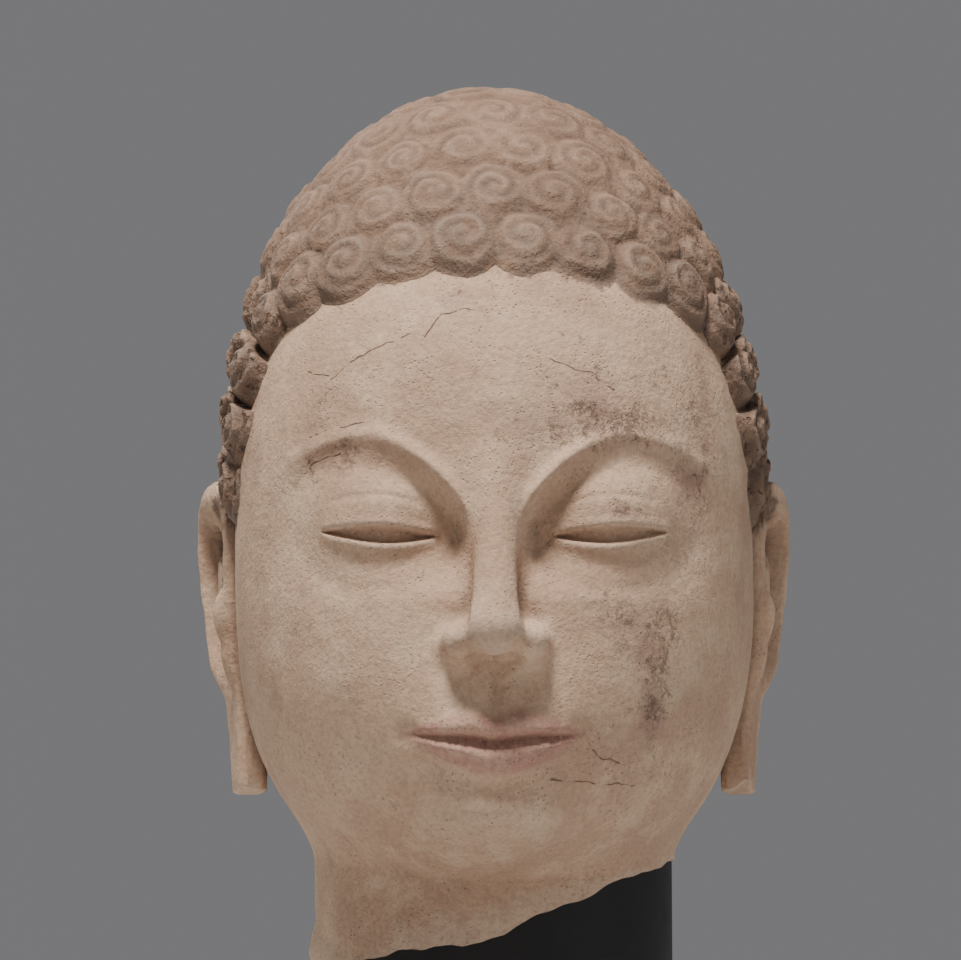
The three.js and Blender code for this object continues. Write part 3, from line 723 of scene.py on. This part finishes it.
class Finish:
    """A node material that is written a line at a time."""

    def __init__(self, name):
        self.material = bpy.data.materials.new(name)
        self.material.use_nodes = True
        self.tree = self.material.node_tree
        self.shader = self.tree.nodes["Principled BSDF"]
        self.place = self.node("ShaderNodeTexCoord").outputs["Object"]

    def node(self, kind, **settings):
        made = self.tree.nodes.new(kind)
        for key, value in settings.items():
            setattr(made, key, value)
        return made

    def feed(self, socket, value):
        if isinstance(value, bpy.types.NodeSocket):
            self.tree.links.new(value, socket)
        else:
            socket.default_value = value

    def noise(self, scale, detail=4.0, rough=0.55, distort=0.0, place=None, dims="3D"):
        n = self.node("ShaderNodeTexNoise", noise_dimensions=dims)
        self.feed(n.inputs["Vector"], place or self.place)
        n.inputs["Scale"].default_value = scale
        n.inputs["Detail"].default_value = detail
        n.inputs["Roughness"].default_value = rough
        n.inputs["Distortion"].default_value = distort
        return n.outputs["Fac"]

    def cells(self, scale, feature="F1", place=None):
        n = self.node("ShaderNodeTexVoronoi", feature=feature)
        self.feed(n.inputs["Vector"], place or self.place)
        n.inputs["Scale"].default_value = scale
        return n.outputs["Distance"]

    def shift(self, amount, scale):
        """The place, moved about by a noise, so that lines through it wander."""
        n = self.node("ShaderNodeTexNoise")
        self.feed(n.inputs["Vector"], self.place)
        n.inputs["Scale"].default_value = scale
        mul = self.node("ShaderNodeVectorMath", operation="MULTIPLY_ADD")
        self.feed(mul.inputs[0], n.outputs["Color"])
        mul.inputs[1].default_value = (amount,) * 3
        self.feed(mul.inputs[2], self.place)
        return mul.outputs["Vector"]

    def ramp(self, value, low, high, from_value=0.0, to_value=1.0):
        n = self.node("ShaderNodeMapRange", interpolation_type="SMOOTHSTEP")
        self.feed(n.inputs["Value"], value)
        n.inputs["From Min"].default_value = low
        n.inputs["From Max"].default_value = high
        n.inputs["To Min"].default_value = from_value
        n.inputs["To Max"].default_value = to_value
        return n.outputs["Result"]

    def from_line(self, place, a, b):
        """Distance in metres from a straight line between two (x, z) places in thirds."""
        a, b = (Vector((p[0] * THIRD, 0.0, p[1] * THIRD + CHIN_LEVEL)) for p in (a, b))
        rel = self.node("ShaderNodeVectorMath", operation="SUBTRACT")
        self.feed(rel.inputs[0], place)
        rel.inputs[1].default_value = a
        dot = self.node("ShaderNodeVectorMath", operation="DOT_PRODUCT")
        self.feed(dot.inputs[0], rel.outputs["Vector"])
        dot.inputs[1].default_value = (b - a) / (b - a).length_squared
        along = self.node("ShaderNodeVectorMath", operation="SCALE")
        along.inputs[0].default_value = b - a
        self.feed(along.inputs["Scale"], self.maths("MINIMUM", self.maths("MAXIMUM", dot.outputs["Value"], 0.0), 1.0))
        off = self.node("ShaderNodeVectorMath", operation="DISTANCE")
        self.feed(off.inputs[0], rel.outputs["Vector"])
        self.feed(off.inputs[1], along.outputs["Vector"])
        return off.outputs["Value"]

    def maths(self, operation, a, b):
        n = self.node("ShaderNodeMath", operation=operation)
        self.feed(n.inputs[0], a)
        self.feed(n.inputs[1], b)
        return n.outputs["Value"]

    def mix(self, amount, a, b, blend="MIX"):
        n = self.node("ShaderNodeMix", data_type="RGBA", blend_type=blend)
        self.feed(n.inputs["Factor"], amount)
        self.feed(n.inputs["A"], a)
        self.feed(n.inputs["B"], b)
        return n.outputs["Result"]

    def read(self, name):
        return self.node("ShaderNodeAttribute", attribute_name=name).outputs["Fac"]

    def bump(self, height, distance, strength=1.0, under=None):
        n = self.node("ShaderNodeBump")
        n.inputs["Strength"].default_value = strength
        n.inputs["Distance"].default_value = distance
        self.feed(n.inputs["Height"], height)
        if under is not None:
            self.feed(n.inputs["Normal"], under)
        return n.outputs["Normal"]


def shade(red, green, blue):
    """A colour as it looks on a screen, 0 to 255, for a shader."""
    linear = [v / 12.92 / 255 if v <= 10 else ((v / 255 + 0.055) / 1.055) ** 2.4 for v in (red, green, blue)]
    return (*linear, 1.0)


# fine cracks that run across the smooth skin, as strings of (x, z) places in thirds of the face
CRACKS = (
    ((-0.86, 2.5), (-0.76, 2.465)),
    ((-0.74, 2.44), (-0.56, 2.56), (-0.34, 2.64)),
    ((-0.3, 2.62), (-0.22, 2.74), (0.02, 2.75)),
    ((-0.84, 2.17), (-0.7, 2.205), (-0.57, 2.215)),
    ((-0.87, 2.0), (-0.7, 2.08)),
    ((0.47, 0.66), (0.66, 0.59)),
    ((0.3, 0.53), (0.69, 0.5)),
    ((0.28, 2.5), (0.5, 2.44), (0.6, 2.36)),
)


def crack_marks(f):
    """The fine cracks: 1 in a crack and 0 beside it, on the front of the head alone."""
    flat = f.node("ShaderNodeVectorMath", operation="MULTIPLY")
    f.feed(flat.inputs[0], f.shift(0.007, 90.0))
    flat.inputs[1].default_value = (1.0, 0.0, 1.0)
    near = None
    for line in CRACKS:
        for a, b in zip(line, line[1:]):
            off = f.from_line(flat.outputs["Vector"], a, b)
            near = off if near is None else f.maths("MINIMUM", near, off)
    near = f.maths("ADD", near, f.ramp(f.noise(110.0, 3.0, 0.7), 0.45, 0.65, 0.0, 0.0006))
    crack = f.ramp(near, 0.00015, 0.0005, 1.0, 0.0)
    front = f.node("ShaderNodeSeparateXYZ")
    f.feed(front.inputs["Vector"], f.place)
    crack = f.maths("MULTIPLY", crack, f.ramp(front.outputs["Y"], -0.06, -0.04, 1.0, 0.0))
    return crack


def patina_marks(f, patina, hair, speck):
    """Ragged flakes where the patina is thick, and with them the short cracks and flecks round it."""
    wander = f.shift(0.006, 140.0)
    thick = f.maths("ADD", f.noise(70.0, 5.0, 0.78), f.maths("MULTIPLY", patina, 0.3))
    flakes = f.maths("ADD", f.noise(260.0, 5.0, 0.85, 0.4), f.maths("MULTIPLY", f.noise(60.0, 2.0, 0.7), 0.5))
    flakes = f.maths("MULTIPLY", f.ramp(flakes, 0.77, 0.86), f.ramp(thick, 0.62, 0.82))
    craze = f.ramp(f.cells(85.0, "DISTANCE_TO_EDGE", wander), 0.0, 0.035, 1.0, 0.0)
    torn = f.ramp(f.noise(95.0, 5.0, 0.8), 0.5, 0.58)
    craze = f.maths("MULTIPLY", f.maths("MULTIPLY", craze, torn), f.ramp(thick, 0.6, 0.72))
    flecks = f.ramp(f.maths("ADD", speck, f.maths("MULTIPLY", thick, 0.5)), 0.92, 1.0)
    stained = f.maths("MAXIMUM", f.maths("MAXIMUM", craze, flakes), flecks)
    stained = f.maths("MULTIPLY", stained, f.maths("SUBTRACT", 1.0, f.maths("MULTIPLY", hair, 0.6)))
    return flakes, stained


def stone_finish():
    f = Finish("weathered_stone")
    names = ("hollow", "hair", "rough", "lips", "patina", "curl_rim_shade", "curl_row", "groove")
    hollow, hair, rough, lips, patina, rim, low_row, groove = (f.read(n) for n in names)
    skin = f.maths("SUBTRACT", 1.0, hair)
    cloud = f.noise(9.0, 3.0)
    drift = f.noise(38.0, 4.0, 0.6)
    grain = f.noise(430.0, 3.0, 0.72)
    speck = f.noise(850.0, 2.0, 0.6)
    base = f.mix(f.ramp(cloud, 0.35, 0.65), shade(183, 151, 127), shade(202, 170, 144))
    base = f.mix(f.ramp(drift, 0.42, 0.72), base, shade(211, 183, 157))
    base = f.mix(f.ramp(f.noise(17.0, 4.0, 0.65), 0.52, 0.74, 0.0, 0.6), base, shade(160, 128, 108))
    # the hair is browner, with grey dust on the rows over the forehead
    base = f.mix(f.maths("MULTIPLY", hair, f.ramp(drift, 0.3, 0.7, 0.75, 1.0)), base, shade(124, 98, 81))
    pale = f.maths("MULTIPLY", hair, f.ramp(f.noise(75.0, 4.0, 0.75), 0.5, 0.68, 0.0, 0.5))
    base = f.mix(pale, base, shade(162, 138, 121))
    tone = f.maths("MULTIPLY", f.ramp(f.read("curl_tone"), 0.6, 0.95, 0.0, 0.35), hair)
    base = f.mix(tone, base, shade(108, 85, 73))
    dusty = f.maths("MULTIPLY", low_row, f.ramp(f.noise(110.0, 4.0, 0.75), 0.42, 0.62, 0.0, 0.75))
    base = f.mix(dusty, base, shade(118, 102, 90))
    # smoky stain round the patina
    smoke = f.maths("ADD", f.noise(45.0, 4.0, 0.65), f.maths("MULTIPLY", patina, 0.42))
    base = f.mix(f.ramp(smoke, 0.62, 0.95, 0.0, 0.6), base, shade(150, 118, 106))
    flakes, stained = patina_marks(f, patina, hair, speck)
    base = f.mix(f.maths("MULTIPLY", stained, 0.7), base, shade(108, 84, 74))
    crack = crack_marks(f)
    base = f.mix(f.maths("MULTIPLY", f.maths("MULTIPLY", crack, skin), 0.7), base, shade(92, 70, 60))
    # paler on what stands out: partly wear, partly a painted highlight
    worn = f.maths("MULTIPLY", f.ramp(hollow, -0.25, -1.2, 0.0, 0.35), f.ramp(hair, 0.0, 1.0, 1.0, 0.6))
    base = f.mix(worn, base, shade(210, 189, 168))
    # darker in the hollows of hair and ears: partly dirt, partly painted shade
    dirt_and_shade = f.maths("MULTIPLY", f.ramp(hollow, 0.15, 1.5, 0.0, 0.85), f.ramp(hair, 0.0, 1.0, 0.4, 1.0))
    base = f.mix(f.maths("MULTIPLY", dirt_and_shade, f.ramp(grain, 0.25, 0.6, 0.65, 1.0)), base, shade(80, 63, 53))
    # painted shade along the curls' edges, broken up by a noise
    edge = f.maths("MULTIPLY", rim, f.ramp(f.noise(90.0, 3.0, 0.7), 0.4, 0.6, 0.05, 0.6))
    base = f.mix(edge, base, shade(104, 84, 72))
    # darker down the spiral grooves: partly dirt, partly painted shade
    groove_dirt_and_shade = f.maths("MULTIPLY", groove, f.ramp(f.noise(70.0, 5.0, 0.7), 0.38, 0.62, 0.1, 0.7))
    base = f.mix(groove_dirt_and_shade, base, shade(90, 72, 62))
    # the pits in the rough curls, darker: partly dirt, partly painted shade in them
    holes = f.ramp(f.noise(190.0, 4.0, 0.6, 0.3), 0.33, 0.42, 1.0, 0.0)
    holes = f.maths("MULTIPLY", holes, rough)
    base = f.mix(f.maths("MULTIPLY", holes, 0.4), base, shade(84, 66, 56))
    red = f.maths("MULTIPLY", lips, f.ramp(f.noise(150.0, 3.0, 0.7), 0.36, 0.64, 0.4, 0.8))
    base = f.mix(red, base, shade(170, 122, 113))
    base = f.mix(f.ramp(grain, 0.36, 0.68, 0.0, 0.26), base, shade(122, 96, 80))
    bright = f.maths("MULTIPLY", f.ramp(speck, 0.56, 0.72, 0.0, 0.26), f.ramp(hair, 0.0, 1.0, 1.0, 0.4))
    base = f.mix(bright, base, shade(230, 212, 193))
    f.feed(f.shader.inputs["Base Color"], base)
    f.feed(f.shader.inputs["Roughness"], f.ramp(drift, 0.3, 0.7, 0.74, 0.92))
    f.shader.inputs["Specular IOR Level"].default_value = 0.3
    pits = f.ramp(f.cells(480.0), 0.0, 0.3, 0.0, 1.0)
    plain = f.maths("ADD", f.noise(60.0, 3.0), f.maths("MULTIPLY", hair, -0.08))
    pits = f.maths("MAXIMUM", pits, f.ramp(plain, 0.46, 0.6, 1.0, 0.0))
    cuts = f.maths("MAXIMUM", crack, f.maths("MULTIPLY", flakes, 0.7))
    lumps = f.maths("SUBTRACT", f.noise(120.0, 5.0, 0.7), f.maths("MULTIPLY", holes, 0.8))
    normal = f.bump(f.noise(60.0, 4.0, 0.62), 0.0014)
    coarse = f.maths("ADD", f.ramp(hair, 0.0, 1.0, 0.06, 0.3), f.maths("MULTIPLY", rough, 0.5))
    normal = f.bump(f.maths("MULTIPLY", lumps, coarse), 0.003, 1.0, normal)
    normal = f.bump(grain, 0.0006, 1.0, normal)
    normal = f.bump(f.maths("SUBTRACT", pits, cuts), 0.0007, 0.9, normal)
    f.feed(f.shader.inputs["Normal"], normal)
    return f.material


def black_finish():
    f = Finish("matte_black_paint")
    brush = f.noise(30.0, 6.0, 0.6)
    dust = f.noise(480.0, 4.0, 0.7)
    colour = f.mix(f.ramp(brush, 0.35, 0.7), shade(19, 19, 20), shade(28, 27, 28))
    colour = f.mix(f.ramp(dust, 0.62, 0.8, 0.0, 0.35), colour, shade(70, 67, 64))
    f.feed(f.shader.inputs["Base Color"], colour)
    f.feed(f.shader.inputs["Roughness"], f.ramp(brush, 0.3, 0.7, 0.5, 0.68))
    f.shader.inputs["Specular IOR Level"].default_value = 0.35
    normal = f.bump(f.noise(700.0, 3.0, 0.6), 0.00012, 0.8)
    f.feed(f.shader.inputs["Normal"], f.bump(brush, 0.0006, 0.5, normal))
    return f.material


def floor_finish():
    f = Finish("pale_floor")
    f.feed(f.shader.inputs["Base Color"], f.mix(f.noise(2.0), (0.66, 0.65, 0.64, 1), (0.7, 0.69, 0.68, 1)))
    f.shader.inputs["Roughness"].default_value = 0.9
    return f.material


def give(piece, material, node):
    """Puts a finished piece in the place of its solid."""
    piece.data.materials.clear()
    piece.data.materials.append(material)
    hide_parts(node)
    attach(piece, "root")


# ---- the room ----------------------------------------------------------------------------------


def lamp(name, place, target, size, power, tint, spread=180):
    light = bpy.data.lights.new(name, "AREA")
    light.shape = "DISK"
    light.size = size
    light.energy = power
    light.color = tint
    light.spread = math.radians(spread)
    holder = bpy.data.objects.new(name, light)
    bpy.context.scene.collection.objects.link(holder)
    holder.location = place
    holder.rotation_euler = (Vector(target) - Vector(place)).to_track_quat("-Z", "Y").to_euler()


def room():
    bm = bmesh.new()
    bmesh.ops.create_circle(bm, cap_ends=True, segments=96, radius=3.2)
    floor = new_piece("floor", bm)
    floor.data.materials.append(floor_finish())
    world = bpy.data.worlds.new("pale_room")
    bpy.context.scene.world = world
    world.use_nodes = True
    sky = world.node_tree.nodes["Background"]
    sky.inputs["Color"].default_value = (0.62, 0.62, 0.64, 1)
    sky.inputs["Strength"].default_value = 0.3
    middle = (0.0, 0.0, 0.34)
    lamp("key", (-0.25, -0.78, 2.05), middle, 0.5, 14.5, (1.0, 0.955, 0.9), 85)
    lamp("fill", (1.5, -0.9, 0.75), middle, 1.2, 2.5, (0.96, 0.97, 1.0))
    lamp("back", (-0.9, 1.3, 1.2), middle, 1.0, 10, (1.0, 0.98, 0.95))


def camera():
    lens = bpy.data.cameras.new("photo_view")
    eye = bpy.data.objects.new("photo_view", lens)
    bpy.context.scene.collection.objects.link(eye)
    bpy.context.scene.camera = eye
    lens.sensor_fit = "HORIZONTAL"
    lens.sensor_width = 36.0
    lens.lens = lens.sensor_width / 2 * CAMERA_AWAY / PHOTO_HALF_WIDTH
    lift = math.radians(-8)
    target = Vector((-0.0062, 0.0, 0.3293))
    back = Vector((0.0, -math.cos(lift), math.sin(lift)))
    eye.location = target + back * CAMERA_AWAY
    eye.rotation_euler = (-back).to_track_quat("-Z", "Y").to_euler()


stone = stone_finish()
black = black_finish()
give(stone_head(), stone, "stone_head")
give(support_post(), black, "support_post")
give(support_foot(), black, "support_foot")
room()
camera()
